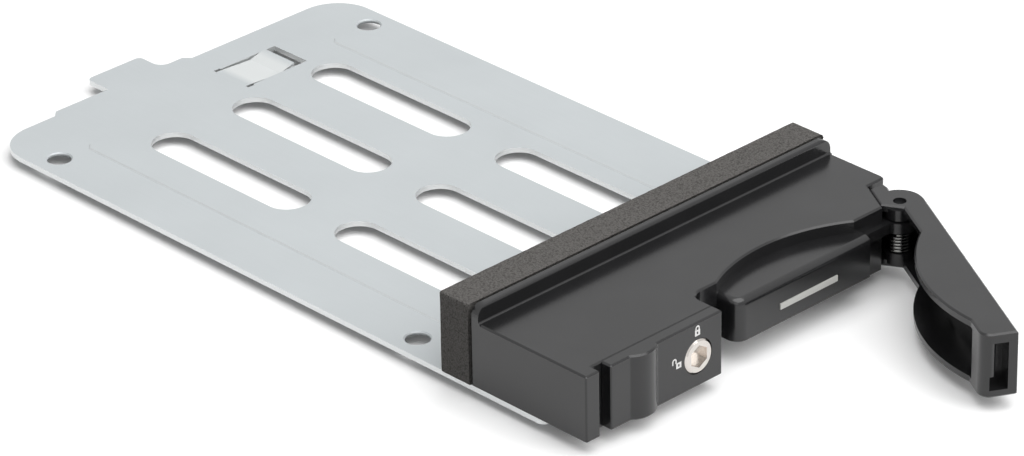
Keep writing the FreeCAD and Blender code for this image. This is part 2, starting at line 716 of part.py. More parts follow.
pipe = new_body("light_pipe")
block(pipe, "bar", light_left, light_right, -s.block_front - s.light_proud, -s.wall_rear - s.light_room,
      light_low, light_high)

# Latch slider

slider = new_body("latch_slider")
block(slider, "face", slider_left, -latch_end, face_front, face_back, 0, s.bezel_height)
wave_left = slider_left + s.wave_start
wave_right = wave_left + s.wave_width
wave_middle = wave_left + s.wave_width / 2
wave_radius = s.wave_width * s.wave_width / (s.wave_rise * 8) + s.wave_rise / 2
extrude(slider, "thumb_wave", "z", 0, s.bezel_height, lambda k: outline(k, [
    (wave_left, face_front, "y"),
    (wave_right, face_front, "y"),
    (wave_right, face_back - s.face_thickness / 2),
    (wave_left, face_back - s.face_thickness / 2),
], {0: (wave_middle, face_front - s.wave_rise + wave_radius, wave_radius, True)}))
round_upright(slider, "wave_feet", s.wave_foot, [(wave_left, face_front), (wave_right, face_front)])
round_upright(slider, "face_corners", s.edge_round, [(slider_left, face_front), (-latch_end, face_front)])
corner_y = face_front + s.edge_round / 2
soften(slider, "face_edges", s.edge_round, lambda m, d: (near(m.z, 0) or near(m.z, s.bezel_height))
       and m.y < corner_y.value, "PartDesign::Chamfer")
block(slider, "neck", rail_left, -latch_end, face_back - s.face_thickness / 2, rail_front + s.slide_room,
      neck_low, neck_high)
block(slider, "rail", rail_left, -latch_end, rail_front, rail_back, rail_low, rail_high)
# low bevelled tongue on the rail's end, which drops into the lever's tip
tongue_top = rail_low + s.tongue_tall
tongue_back = -s.pin_front + s.catch_inner - s.bay_room
extrude(slider, "latch_tongue", "z", rail_low, tongue_top, lambda k: outline(k, [
    (-latch_end - s.skin / 2, rail_front),
    (-latch_end, rail_front),
    (-latch_end + s.tongue_reach, tongue_back - s.bay_room),
    (-latch_end + s.tongue_reach, tongue_back),
    (-latch_end - s.skin / 2, tongue_back),
]))
block(slider, "stop_lug", lug_left, lug_right, rail_back - s.rail_depth / 2, rail_back + s.lug_reach,
      lug_low, rail_high)
extrude(slider, "spring_peg", "x", rail_left - s.peg_length, rail_left + s.peg_length,
        lambda k: disc(k, rail_middle, s.lock_height, s.peg_diameter / 2))
extrude(slider, "lock_bore", "y", face_front - s.wave_rise, rail_back + 1,
        lambda k: disc(k, -lock_left, s.lock_height, s.lock_barrel / 2 + s.lock_fit), True)
rim_back = face_front - s.lock_proud + s.lock_rim
extrude(slider, "lock_seat", "y", face_front - 1, rim_back + s.lock_fit,
        lambda k: disc(k, -lock_left, s.lock_height, s.lock_face / 2 + s.lock_fit), True)

# Lock plug, cam and cam screw

plug = new_body("lock_cylinder")
axis_x = -lock_left
axis_z = s.lock_height
plug_front = face_front - s.lock_proud
extrude(plug, "rim", "y", plug_front, rim_back, lambda k: disc(k, axis_x, axis_z, s.lock_face / 2))
extrude(plug, "barrel", "y", rim_back, cam_front, lambda k: disc(k, axis_x, axis_z, s.lock_barrel / 2))
extrude(plug, "stub", "y", cam_front, cam_back, lambda k: disc(k, axis_x, axis_z, s.cam_stub / 2))
corner_out = s.lock_socket / math.sqrt(3)
extrude(plug, "socket", "y", plug_front, plug_front + s.lock_socket_depth, lambda k: outline(k, [
    (axis_x + corner_out * math.cos(math.radians(60 * n + 30)),
     axis_z + corner_out * math.sin(math.radians(60 * n + 30))) for n in range(6)]), True)
extrude(plug, "cam_screw_hole", "y", cam_back - s.cam_screw_length, cam_back,
        lambda k: disc(k, axis_x, axis_z, s.cam_screw_shank / 2 + s.screw_fit), True)
soften(plug, "rim_edge", s.lock_rim / 4, lambda m, d: near(m.y, plug_front) and d.Length < 1e-6,
       "PartDesign::Chamfer")

cam = new_body("lock_cam")
leaf = s.cam_width / 2
tip_x = axis_x - s.cam_reach + leaf
extrude(cam, "leaf", "y", cam_front, cam_back, lambda k: outline(k, [
    (axis_x, axis_z - leaf, "x"),
    (axis_x, axis_z + leaf, "x"),
    (tip_x, axis_z + leaf, "x"),
    (tip_x, axis_z - leaf, "x"),
], {0: (axis_x, axis_z, leaf, True), 2: (tip_x, axis_z, leaf, True)}))
extrude(cam, "stub_hole", "y", cam_front - 1, cam_back + 1,
        lambda k: disc(k, axis_x, axis_z, s.cam_stub / 2 + s.pin_grip), True)

cam_screw = new_body("cam_screw")
extrude(cam_screw, "head", "y", cam_back, cam_back + s.cam_screw_tall,
        lambda k: disc(k, axis_x, axis_z, s.cam_screw_head / 2))
extrude(cam_screw, "shank", "y", cam_back - s.cam_screw_length + s.screw_fit, cam_back,
        lambda k: disc(k, axis_x, axis_z, s.cam_screw_shank / 2))
block(cam_screw, "driver_slot", axis_x - s.cam_screw_head, axis_x + s.cam_screw_head,
      cam_back + s.cam_screw_tall / 2, cam_back + s.cam_screw_tall * 2,
      axis_z - s.cam_screw_head / 12, axis_z + s.cam_screw_head / 12, True)

# Lever, drawn along its own X from the hinge axis, then turned open

lever = new_body("lever")
hub = s.lever_outer
bulge_y = s.lens_radius - s.lens_bulge


def lens_end(y, side):
    reach = math.sqrt(s.lens_radius.value ** 2 - (y - bulge_y.value) ** 2)
    return lens_centre.value + side * reach


notch_x = -math.sqrt(hub.value ** 2 - s.claw_inner.value ** 2)
extrude(lever, "shape", "z", 0, s.lever_height, lambda k: outline(k, [
    (0, hub, "x"),
    (s.lever_length, hub),
    (s.lever_length, -s.nose_inner),
    (lens_end(-s.nose_inner.value, 1), -s.nose_inner, "y"),
    (lens_end(0.0, -1), 0, "y"),
    (s.heel_slope, 0),
    (s.heel_tip, -s.heel_edge),
    (-s.claw_reach * 0.85, -s.heel_edge),
    (-s.claw_reach, -s.heel_edge * 0.45),
    (-s.claw_reach, -s.claw_inner * 1.4),
    (-s.claw_reach * 0.81, -s.claw_inner * 0.7),
    (notch_x, -s.claw_inner, "y"),
], {3: (lens_centre, bulge_y, s.lens_radius, False), 11: (0, 0, hub, False)}))
round_upright(lever, "nose_corner", s.nose_round, [(s.lever_length, -s.nose_inner)])
soften(lever, "outer_edges", s.edge_round, lambda m, d: near(m.z, 0) or near(m.z, s.lever_height),
       "PartDesign::Chamfer")
channel_low = s.lever_plate
channel_high = s.lever_height - s.lever_plate
block(lever, "channel", 0, s.lever_length - s.nose_length, -s.lens_bulge * 2, hub - s.lever_wall,
      channel_low, channel_high, True)
extrude(lever, "hub_hollow", "z", channel_low, channel_high,
        lambda k: disc(k, 0, 0, hub - s.hub_wall), True)
extrude(lever, "upper_collar", "z", knuckle_high + s.collar_room, channel_high + s.lever_plate / 2,
        lambda k: disc(k, 0, 0, s.collar_diameter / 2))
extrude(lever, "lower_collar", "z", s.lever_plate / 2, s.collar_low,
        lambda k: disc(k, 0, 0, s.collar_diameter / 2))
extrude(lever, "pin_hole", "z", -1, s.lever_height + 1,
        lambda k: disc(k, 0, 0, s.pin_diameter / 2 + s.pin_grip), True)

# pocket in the tip: a square notch for the latch tongue, with a rounded lead-in over it
catch_end = s.lever_length - s.catch_depth
catch_outer = s.catch_width - s.catch_inner
lead_low = tongue_top + s.bay_room
lead_edge = s.lever_length - s.catch_round
block(lever, "catch_notch", catch_end, s.lever_length + 1, -s.catch_inner, catch_outer,
      rail_low - s.bay_room, lead_low, True)
extrude(lever, "catch_lead_in", "z", lead_low, rail_high + s.bay_room, lambda k: outline(k, [
    (catch_end, s.catch_round - s.catch_inner),
    (lead_edge, s.catch_round - s.catch_inner, "x"),
    (s.lever_length, -s.catch_inner, "y"),
    (s.lever_length + 1, -s.catch_inner),
    (s.lever_length + 1, catch_outer),
    (catch_end, catch_outer),
], {1: (lead_edge, -s.catch_inner, s.catch_round, False)}), True)
block(lever, "light_window", pin_side - light_right - s.light_margin, pin_side - light_left + s.light_margin,
      hub - s.lever_wall * 2, hub + 1, light_low - s.light_margin, light_high + s.light_margin, True)

turn = s.lever_open + 180
at_hinge = FreeCAD.Placement(V(pin_side.value, -s.pin_front.value, 0),
                             FreeCAD.Rotation(V(0, 0, 1), turn.value))


def hang_on_hinge(item):
    item.Placement = at_hinge
    item.setExpression("Placement.Base.x", pin_side.text)
    item.setExpression("Placement.Base.y", (-s.pin_front).text)
    item.setExpression("Placement.Rotation.Angle", turn.text)


hang_on_hinge(lever)

pin = new_body("hinge_pin")
extrude(pin, "shaft", "z", s.pin_sunk, s.lever_height - s.pin_sunk,
        lambda k: disc(k, pin_side, -s.pin_front, s.pin_diameter / 2))

# Springs


def wire_spring(name, points, thickness):
    """Six-sided wire swept with mitred bends along the points."""
    ahead = (points[1] - points[0]).normalize()
    across = ahead.cross(V(0, 0, 1) if abs(ahead.z) < 0.9 else V(1, 0, 0)).normalize()
    over = ahead.cross(across)
    ring = []
    for n in range(6):
        angle = math.radians(60 * n)
        ring.append(points[0] + (across * math.cos(angle) + over * math.sin(angle)) * (thickness / 2))
    profile = Part.makePolygon(ring + ring[:1])
    spring = doc.addObject("Part::Feature", name)
    spring.Label = name
    spring.Shape = Part.makePolygon(points).makePipeShell([profile], True, False, 1)
    return spring


def torsion_points():
    """From the leg along the lever's wall, up round the pin, to the foot that bears on the bezel."""
    radius = s.torsion_diameter.value / 2
    base = s.collar_low.value + s.torsion_wire.value / 2
    sweep = s.torsion_turns.value * 360 + 180 - s.lever_open.value
    steps = int(sweep // 24)
    points = [V(s.torsion_leg.value, radius, base)]
    for n in range(steps + 1):
        angle = sweep * n / steps
        at = math.radians(90 + angle)
        points.append(V(radius * math.cos(at), radius * math.sin(at),
                        base + s.torsion_pitch.value * angle / 360))
    at = math.radians(90 + sweep)
    points.append(points[-1] + V(-math.sin(at), math.cos(at), 0) * s.torsion_foot.value)
    return points


torsion_spring = wire_spring("torsion_spring", torsion_points(), s.torsion_wire.value)
hang_on_hinge(torsion_spring)


def latch_points():
    radius = s.coil_diameter.value / 2
    thick = s.coil_wire.value
    low = inner_left.value + thick / 2
    high = rail_left.value - thick / 2
    turns = s.coil_turns.value
    steps = int(turns * 12)
    points = []
    for n in range(steps + 1):
        turn_at = turns * n / steps
        # closed end coils, open coils between
        if turn_at < 1:
            x = low + thick * turn_at
        elif turn_at > turns - 1:
            x = high - thick * (turns - turn_at)
        else:
            x = low + thick + (high - low - 2 * thick) * (turn_at - 1) / (turns - 2)
        angle = 2 * math.pi * turn_at
        points.append(V(x, rail_middle.value + radius * math.cos(angle),
                        s.lock_height.value + radius * math.sin(angle)))
    return points


latch_spring = wire_spring("latch_spring", latch_points(), s.coil_wire.value)

# Plate screws

screws = []
sink = (s.screw_head - s.screw_diameter) / 2
for number, (x, y) in enumerate(screw_spots):
    screw = new_body("plate_screw_%d" % number)
    sketch = sketch_on(screw, "screw_profile_%d" % number, "y", 0)
    outline(sketch, [
        (0, -s.plate_thickness),
        (s.screw_head / 2, -s.plate_thickness),
        (s.screw_diameter / 2, -s.plate_thickness + sink),
        (s.screw_diameter / 2, s.screw_length - s.plate_thickness),
        (0, s.screw_length - s.plate_thickness),
    ])
    doc.recompute()
    turned_screw = screw.newObject("PartDesign::Revolution", "screw_body_%d" % number)
    turned_screw.Profile = sketch
    turned_screw.ReferenceAxis = (sketch, ["V_Axis"])
    turned_screw.Angle = 360
    sketch.Visibility = False
    doc.recompute()
    arm = s.screw_head / 3
    wide = s.screw_head / 14
    extrude(screw, "cross_%d" % number, "z", -s.plate_thickness, -s.plate_thickness + sink,
            lambda k: outline(k, [
                (-arm, -wide), (-wide, -wide), (-wide, -arm), (wide, -arm), (wide, -wide), (arm, -wide),
                (arm, wide), (wide, wide), (wide, arm), (-wide, arm), (-wide, wide), (-arm, wide)]), True)
    screw.Placement = FreeCAD.Placement(V(x.value, y.value, 0), FreeCAD.Rotation())
    screw.setExpression("Placement.Base.x", x.text)
    screw.setExpression("Placement.Base.y", y.text)
    screws.append(screw)
plate_screws = doc.addObject("Part::Compound", "plate_screws")
plate_screws.Label = "plate_screws"
plate_screws.Links = screws
doc.recompute()

# Hand over one file per piece

for item in doc.Objects:
    if "Invalid" in item.State or "Error" in item.State:
        raise RuntimeError("%s failed: %s" % (item.Name, item.State))

os.makedirs("parts", exist_ok=True)
for item in (plate, gasket, bezel, pipe, slider, plug, cam, cam_screw, lever, pin,
             torsion_spring, latch_spring, plate_screws):
    shape = item.Shape
    if shape.isNull() or not shape.isValid() or not shape.Solids:
        raise RuntimeError("%s has no sound solid" % item.Label)
    shape.exportStep("parts/%s.step" % item.Label)
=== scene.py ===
import math

import bmesh
import bpy
from bpy.props import FloatProperty, FloatVectorProperty, IntProperty, PointerProperty
from mathutils import Matrix, Vector, noise


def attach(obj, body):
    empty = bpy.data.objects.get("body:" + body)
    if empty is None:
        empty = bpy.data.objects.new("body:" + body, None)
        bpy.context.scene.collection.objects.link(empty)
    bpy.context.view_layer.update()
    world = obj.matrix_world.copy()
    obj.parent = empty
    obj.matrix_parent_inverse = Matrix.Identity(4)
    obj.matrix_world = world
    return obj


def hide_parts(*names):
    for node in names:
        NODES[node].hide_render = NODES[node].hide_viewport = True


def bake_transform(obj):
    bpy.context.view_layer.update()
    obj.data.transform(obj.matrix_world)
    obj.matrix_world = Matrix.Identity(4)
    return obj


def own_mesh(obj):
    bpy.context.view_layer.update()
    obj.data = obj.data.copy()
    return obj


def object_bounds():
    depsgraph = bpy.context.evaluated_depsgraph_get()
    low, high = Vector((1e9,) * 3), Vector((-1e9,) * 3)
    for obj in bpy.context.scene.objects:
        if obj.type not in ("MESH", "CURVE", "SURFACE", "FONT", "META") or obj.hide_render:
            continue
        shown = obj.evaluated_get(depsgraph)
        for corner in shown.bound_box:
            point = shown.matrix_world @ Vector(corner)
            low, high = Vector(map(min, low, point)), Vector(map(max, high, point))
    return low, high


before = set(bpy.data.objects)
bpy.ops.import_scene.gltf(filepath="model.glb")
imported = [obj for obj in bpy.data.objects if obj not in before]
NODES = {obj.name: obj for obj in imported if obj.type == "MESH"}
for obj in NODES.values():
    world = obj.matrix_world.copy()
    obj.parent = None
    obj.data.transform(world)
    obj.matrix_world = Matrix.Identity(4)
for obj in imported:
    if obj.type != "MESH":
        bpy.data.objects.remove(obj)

bl_info = {
    "name": "Drive tray",
    "version": (1, 0, 0),
    "blender": (4, 5, 0),
    "location": "View3D > Sidebar > Drive tray",
    "description": "Finishes a removable drive tray with its lever, latch and lock",
    "category": "Object",
}

MM = 0.001
CAD_BOX = [list(corner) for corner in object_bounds()]

# Lamps: name, place and aim in metres, width in metres, power in watts, and whether gloss shows it
LAMPS = (
    ("overhead", (0.0, -0.20, 0.75), (0, 0, 0), 0.9, 6.4, True),
    ("front", (0.20, -0.90, 0.50), (0, -0.05, 0), 0.6, 4.2, False),
    ("left_front", (-0.75, -0.55, 0.45), (0, -0.05, 0), 0.6, 0.8, True),
    ("right_back", (0.60, 0.50, 0.50), (0, -0.05, 0), 0.5, 0.8, False),
)


# Settings

def hex_colour(text):
    """An sRGB hex value as linear red, green, blue and alpha."""
    parts = [int(text[n:n + 2], 16) / 255 for n in (1, 3, 5)]
    linear = [p / 12.92 if p <= 0.04045 else ((p + 0.055) / 1.055) ** 2.4 for p in parts]
    return (*linear, 1.0)


def length(name, note, value):
    """A length, given in millimetres."""
    return FloatProperty(name=name, description=note, default=value * MM, unit="LENGTH",
                         precision=6)


def place(name, note, values):
    """A point, given in millimetres."""
    return FloatVectorProperty(name=name, description=note, default=[v * MM for v in values],
                               size=3, subtype="TRANSLATION")


def angle(name, note, value):
    """An angle, given in degrees."""
    return FloatProperty(name=name, description=note, default=math.radians(value),
                         subtype="ANGLE")


def share(name, note, value):
    """A share or strength from 0 to 1."""
    return FloatProperty(name=name, description=note, default=value, min=0, max=1,
                         subtype="FACTOR")


def colour(name, note, text):
    """A colour, given as an sRGB hex value."""
    return FloatVectorProperty(name=name, description=note, default=hex_colour(text), size=4,
                               min=0, max=1, subtype="COLOR")


class TraySizes(bpy.types.PropertyGroup):
    """Places and sizes of the springs, the marks, the foam and the plate's finish."""
    hinge: place("Hinge axis", "Foot of the lever's hinge axis", (31.05, -71.05, 0.0))
    lever_open: angle("Lever opening", "Angle of the open lever from shut", 60.5)
    torsion_radius: length("Torsion spring radius", "Mean radius of the lever's spring", 1.8)
    torsion_wire: length("Torsion spring wire", "Thickness of the wire", 0.42)
    torsion_base: length("Torsion spring base", "Height of its lowest turn", 2.61)
    torsion_pitch: length("Torsion spring pitch", "Rise of each turn", 0.5)
    torsion_leg: length("Torsion spring leg", "Leg along the lever's wall", 6.0)
    torsion_foot: length("Torsion spring foot", "Leg that bears on the bezel", 2.2)
    torsion_turns: IntProperty(name="Torsion spring turns", description="Full turns", default=5)
    latch_seat: place("Latch spring seat", "Centre of its fixed end", (-33.05, -71.15, 4.72))
    latch_length: length("Latch spring length", "Length at rest", 7.05)
    latch_radius: length("Latch spring radius", "Mean radius", 0.95)
    latch_wire: length("Latch spring wire", "Thickness of the wire", 0.35)
    latch_turns: IntProperty(name="Latch spring turns", description="Full turns", default=7)
    latch_travel: length("Latch travel", "Slide of the latch", 1.7)
    shut_mark: place("Locked mark", "Centre of the shut padlock", (-13.755, -75.2, 8.74))
    open_mark: place("Unlocked mark", "Centre of the open padlock", (-17.37, -75.2, 5.185))
    mark_height: length("Mark height", "Height of the shut padlock", 1.54)
    ink: length("Ink", "Thickness of the printed marks", 0.02)
    foam_cell: length("Foam mesh", "Edge of the foam's surface mesh", 0.18)
    foam_sag: length("Foam unevenness", "Depth of the foam's uneven cut", 0.1)
    foam_swell: length("Foam swells", "Width of the cut's swells", 3.0)
    foam_crumb: length("Foam crumbs", "Width of the cut's crumbs", 0.9)
    foam_slack: length("Foam slack", "Dark gap that the foam leaves along the bezel", 0.32)
    foam_corner: length("Foam corner", "Radius of the strip's upper ends", 0.8)
    tongue: place("Tongue", "Middle of the spring tongue", (9.0, 39.55, 0.0))
    tongue_long: length("Tongue length", "Tongue from its root to its end", 9.2)
    tongue_wide: length("Tongue width", "Tongue across", 6.9)
    tongue_fade: length("Tongue fade", "Stretch at its ends where it dims", 1.5)
    drive_hole: place("Drive hole", "Middle of the right rear drive hole", (30.86, 38.3, 0.0))
    hole_rim: length("Drive hole rim", "Radius that keeps the plate's finish", 2.9)
    hole_fade: length("Drive hole fade", "Stretch past the rim where the cut finish sets in", 0.6)


class TrayColours(bpy.types.PropertyGroup):
    """Colours of the finishes."""
    steel: colour("Sheet steel", "Zinc-plated sheet", "#BEC3C5")
    steel_dull: colour("Sheet steel, dull", "Duller patches of the zinc", "#B5BABC")
    # painted highlight: the bent tongue gets a brighter colour for the light it tilts into
    steel_lit_tongue: colour("Sheet steel, bright", "Bent tongue", "#CFD2D2")
    # bare cut metal together with painted highlight: every face tilted from flat is made lighter,
    # which also lifts the shade on the beads' flanks
    steel_cut_lit: colour("Sheet steel, cut", "Sheared edges", "#D9DBDB")
    plastic: colour("Mouldings", "Dark ABS of bezel, latch and lever", "#181819")
    plastic_pale: colour("Mouldings, pale", "Grazed plastic", "#202021")
    foam: colour("Foam", "Crumbs of the foam's cut faces", "#686664")
    # painted shade for the open cells between the crumbs
    foam_cell_shade: colour("Foam, dark", "Open cells between the crumbs", "#3E3C3A")
    nickel: colour("Nickel", "Lock plug", "#CFCAC5")
    zinc: colour("Zinc", "Screws, pin and cam", "#B4B6B8")
    wire: colour("Spring wire", "Drawn steel wire", "#6C6C6A")
    light: colour("Light guide", "Milky plastic", "#C6C6C2")
    ink: colour("Ink", "Printed marks", "#F2F2F0")
    floor: colour("Floor", "Paper under the tray", "#FFFFFF")
    floor_bounce: colour("Floor bounce", "Light that the paper throws back", "#A0A0A0")
    white: colour("White", "Room and far paper", "#FFFFFF")


class TrayStage(bpy.types.PropertyGroup):
    """The paper under the tray, the light of the room and the camera."""
    floor_gap: length("Floor gap", "Space between the plate's underside and the paper", 1.4)
    floor_reach: length("Floor reach", "Paper from its middle to its edges", 6000)
    shadow_reach: length("Shadow reach", "Paper round the tray that keeps its shadow", 200)
    white_reach: length("White reach", "Distance past which the paper is plain white", 450)
    paper_glow: share("Paper glow", "Plain white in the paper near the tray", 0.06)
    room_light: share("Room light", "Strength of the room on matt surfaces", 0.3)
    room_gloss: share("Room gloss", "Strength of the room in reflections", 0.93)
    lens: FloatProperty(name="Lens", description="Focal length", default=189.27, unit="CAMERA")
    sensor: FloatProperty(name="Sensor", description="Sensor width", default=36.0, unit="CAMERA")
    around: angle("Camera around", "Turn about the tray from straight in front", -43.633)
    above: angle("Camera above", "Downward look of the camera", 28.276)
    roll: angle("Camera roll", "Sideways tilt of the camera", -1.057)
    camera: place("Camera place", "Where the camera stands", (-465.73, -513.59, 363.31))


def sizes():
    return bpy.context.scene.tray_sizes


def colours():
    return bpy.context.scene.tray_colours


def stage():
    return bpy.context.scene.tray_stage


# Materials

def add(tree, kind, inputs=None, **settings):
    """Add a node with its settings, and with values or links on its inputs."""
    made = tree.nodes.new(kind)
    for key, value in settings.items():
        setattr(made, key, value)
    for key, value in (inputs or {}).items():
        if isinstance(value, bpy.types.NodeSocket):
            tree.links.new(value, made.inputs[key])
        else:
            made.inputs[key].default_value = value
    return made


def new_material(name):
    """A material with its emptied tree and its object coordinates."""
    made = bpy.data.materials.get(name) or bpy.data.materials.new(name)
    made.use_nodes = True
    tree = made.node_tree
    tree.nodes.clear()
    where = add(tree, "ShaderNodeTexCoord").outputs["Object"]
    return made, tree, where


def per_metre(size_mm):
    """Texture scale for a feature of this size in millimetres."""
    return 1 / (size_mm * MM)


def zinc_sheet():
    """Zinc-plated steel sheet, cold rolled: pale, even and nearly matt, with a fine rolled grain
    along Y and faint dull patches. The bent tongue has a painted highlight, and faces tilted from
    flat are painted lighter: bare metal on the sheared walls, painted highlight there and on the
    beads' flanks and other slopes, which lifts their shade."""
    made, tree, where = new_material("Zinc-plated sheet steel")
    c = colours()
    s = sizes()
    patch_mm = 14
    grain_mm = 0.5
    grain_stretch = 0.04
    # upright share of the surface normal on a face that lies flat, and on a face painted fully
    # lighter: the sheared walls, where this is bare metal and painted highlight together
    flat, sheared = 0.97, 0.4
    patches = add(tree, "ShaderNodeTexNoise", {
        "Vector": where, "Scale": per_metre(patch_mm), "Detail": 3.0})
    tone = add(tree, "ShaderNodeMix", {
        "Factor": patches.outputs["Fac"], "A": c.steel, "B": c.steel_dull}, data_type="RGBA")
    # painted highlight on the tongue: brighter over its length, fading out at its two ends
    spot = add(tree, "ShaderNodeSeparateXYZ", {"Vector": where}).outputs
    away = add(tree, "ShaderNodeMath", {0: spot["X"], 1: s.tongue[0]}, operation="SUBTRACT")
    away = add(tree, "ShaderNodeMath", {0: away.outputs["Value"]}, operation="ABSOLUTE")
    in_length = add(tree, "ShaderNodeMapRange", {
        "Value": away.outputs["Value"], "From Min": s.tongue_long / 2,
        "From Max": s.tongue_long / 2 - s.tongue_fade})
    in_width = add(tree, "ShaderNodeMath", {
        0: spot["Y"], 1: s.tongue[1], 2: s.tongue_wide / 2}, operation="COMPARE")
    tongue = add(tree, "ShaderNodeMath", {
        0: in_length.outputs["Result"], 1: in_width.outputs["Value"]}, operation="MULTIPLY")
    # painted highlight by facing: the more a face tilts from flat, the lighter it is painted; on
    # the sheared walls this is also the bare cut metal
    normal = add(tree, "ShaderNodeNewGeometry").outputs["Normal"]
    facing = add(tree, "ShaderNodeSeparateXYZ", {"Vector": normal})
    upright = add(tree, "ShaderNodeMath", {0: facing.outputs["Z"]}, operation="ABSOLUTE")
    cut_lit_mask = add(tree, "ShaderNodeMapRange", {
        "Value": upright.outputs["Value"], "From Min": flat, "From Max": sheared})
    # the broken rims of the four drive holes are left out of the painted highlight and keep the
    # plate's own finish
    corner = add(tree, "ShaderNodeVectorMath", {0: where}, operation="ABSOLUTE")
    corner = add(tree, "ShaderNodeVectorMath", {
        0: corner.outputs["Vector"], 1: s.drive_hole}, operation="DISTANCE")
    clear = add(tree, "ShaderNodeMapRange", {
        "Value": corner.outputs["Value"], "From Min": s.hole_rim,
        "From Max": s.hole_rim + s.hole_fade})
    cut_lit_mask = add(tree, "ShaderNodeMath", {
        0: cut_lit_mask.outputs["Result"], 1: clear.outputs["Result"]}, operation="MULTIPLY")
    # paint the tongue brighter and the tilted faces lighter, both painted highlight; on the
    # sheared walls the lighter colour is also the bare cut metal
    for mask, finish in ((tongue, c.steel_lit_tongue), (cut_lit_mask, c.steel_cut_lit)):
        tone = add(tree, "ShaderNodeMix", {
            "Factor": mask.outputs["Value"], "A": tone.outputs["Result"], "B": finish},
            data_type="RGBA")
    metal = add(tree, "ShaderNodeMapRange", {
        "Value": cut_lit_mask.outputs["Value"], "To Min": 0.25, "To Max": 0.95})
    # the rolled grain is finer than a pixel, so its lines are drawn 0.5 mm wide
    rolled = add(tree, "ShaderNodeMapping", {"Vector": where, "Scale": (1.0, grain_stretch, 1.0)})
    grain = add(tree, "ShaderNodeTexNoise", {
        "Vector": rolled.outputs["Vector"], "Scale": per_metre(grain_mm), "Detail": 2.0})
    dull = add(tree, "ShaderNodeMapRange", {
        "Value": grain.outputs["Fac"], "To Min": 0.42, "To Max": 0.56})
    bump = add(tree, "ShaderNodeBump", {
        "Height": grain.outputs["Fac"], "Strength": 0.06, "Distance": 0.04 * MM})
    shader = add(tree, "ShaderNodeBsdfPrincipled", {
        "Base Color": tone.outputs["Result"], "Metallic": metal.outputs["Result"],
        "Roughness": dull.outputs["Result"], "Normal": bump.outputs["Normal"]})
    add(tree, "ShaderNodeOutputMaterial", {"Surface": shader.outputs["BSDF"]})
    return made


def moulded_plastic():
    """ABS moulded in a finely eroded tool: nearly black, between satin and gloss, with a spark
    grain that breaks up its reflections."""
    made, tree, where = new_material("Moulded ABS")
    c = colours()
    cloud_mm = 9
    spark_mm = 0.25
    cloud = add(tree, "ShaderNodeTexNoise", {
        "Vector": where, "Scale": per_metre(cloud_mm), "Detail": 4.0})
    graze = add(tree, "ShaderNodeMapRange", {
        "Value": cloud.outputs["Fac"], "From Min": 0.45, "From Max": 0.8})
    tone = add(tree, "ShaderNodeMix", {
        "Factor": graze.outputs["Result"], "A": c.plastic, "B": c.plastic_pale}, data_type="RGBA")
    # the spark grain is 0.15 mm, drawn at 0.25 mm so that it shows
    spark = add(tree, "ShaderNodeTexNoise", {
        "Vector": where, "Scale": per_metre(spark_mm), "Detail": 1.0})
    satin = add(tree, "ShaderNodeMapRange", {
        "Value": spark.outputs["Fac"], "To Min": 0.17, "To Max": 0.27})
    bump = add(tree, "ShaderNodeBump", {
        "Height": spark.outputs["Fac"], "Strength": 0.10, "Distance": 0.03 * MM})
    shader = add(tree, "ShaderNodeBsdfPrincipled", {
        "Base Color": tone.outputs["Result"], "Roughness": satin.outputs["Result"], "IOR": 1.53,
        "Specular IOR Level": 0.53, "Normal": bump.outputs["Normal"]})
    add(tree, "ShaderNodeOutputMaterial", {"Surface": shader.outputs["BSDF"]})
    return made


def open_foam():
    """Cut open-cell foam: dull warm grey and rough, with pale crumbs and painted shade in the open
    cells between them.
    """
    made, tree, where = new_material("Open-cell foam")
    c = colours()
    crumb_mm = 0.26
    fluff_mm = 0.5
    crumbs = add(tree, "ShaderNodeTexVoronoi", {
        "Vector": where, "Scale": per_metre(crumb_mm), "Randomness": 1.0})
    fluff = add(tree, "ShaderNodeTexNoise", {
        "Vector": where, "Scale": per_metre(fluff_mm), "Detail": 5.0, "Roughness": 0.7})
    # painted shade: darker where the bump sinks, in the open cells between the crumbs
    depth = add(tree, "ShaderNodeMath", {
        0: crumbs.outputs["Distance"], 1: fluff.outputs["Fac"]}, operation="MULTIPLY")
    shade = add(tree, "ShaderNodeMapRange", {
        "Value": depth.outputs["Value"], "From Min": 0.0, "From Max": 0.55})
    tone = add(tree, "ShaderNodeMix", {
        "Factor": shade.outputs["Result"], "A": c.foam, "B": c.foam_cell_shade}, data_type="RGBA")
    bump = add(tree, "ShaderNodeBump", {
        "Height": depth.outputs["Value"], "Strength": 0.8, "Distance": 0.3 * MM}, invert=True)
    shader = add(tree, "ShaderNodeBsdfPrincipled", {
        "Base Color": tone.outputs["Result"], "Roughness": 0.95, "Specular IOR Level": 0.2,
        "Normal": bump.outputs["Normal"]})
    add(tree, "ShaderNodeOutputMaterial", {"Surface": shader.outputs["BSDF"]})
    return made


def plated_metal(name, tone, smooth, rough, grain_mm):
    """Bare or plated metal: full metallic, with a fine grain that varies its tone a little and its
    roughness from smooth to rough."""
    made, tree, where = new_material(name)
    grain = add(tree, "ShaderNodeTexNoise", {
        "Vector": where, "Scale": per_metre(grain_mm), "Detail": 3.0})
    gloss = add(tree, "ShaderNodeMapRange", {
        "Value": grain.outputs["Fac"], "To Min": smooth, "To Max": rough})
    shade = add(tree, "ShaderNodeMapRange", {
        "Value": grain.outputs["Fac"], "To Min": 0.9, "To Max": 1.06})
    tint = add(tree, "ShaderNodeHueSaturation", {"Color": tone, "Value": shade.outputs["Result"]})
    bump = add(tree, "ShaderNodeBump", {
        "Height": grain.outputs["Fac"], "Strength": 0.05, "Distance": 0.03 * MM})
    shader = add(tree, "ShaderNodeBsdfPrincipled", {
        "Base Color": tint.outputs["Color"], "Metallic": 1.0,
        "Roughness": gloss.outputs["Result"], "Normal": bump.outputs["Normal"]})
    add(tree, "ShaderNodeOutputMaterial", {"Surface": shader.outputs["BSDF"]})
    return made


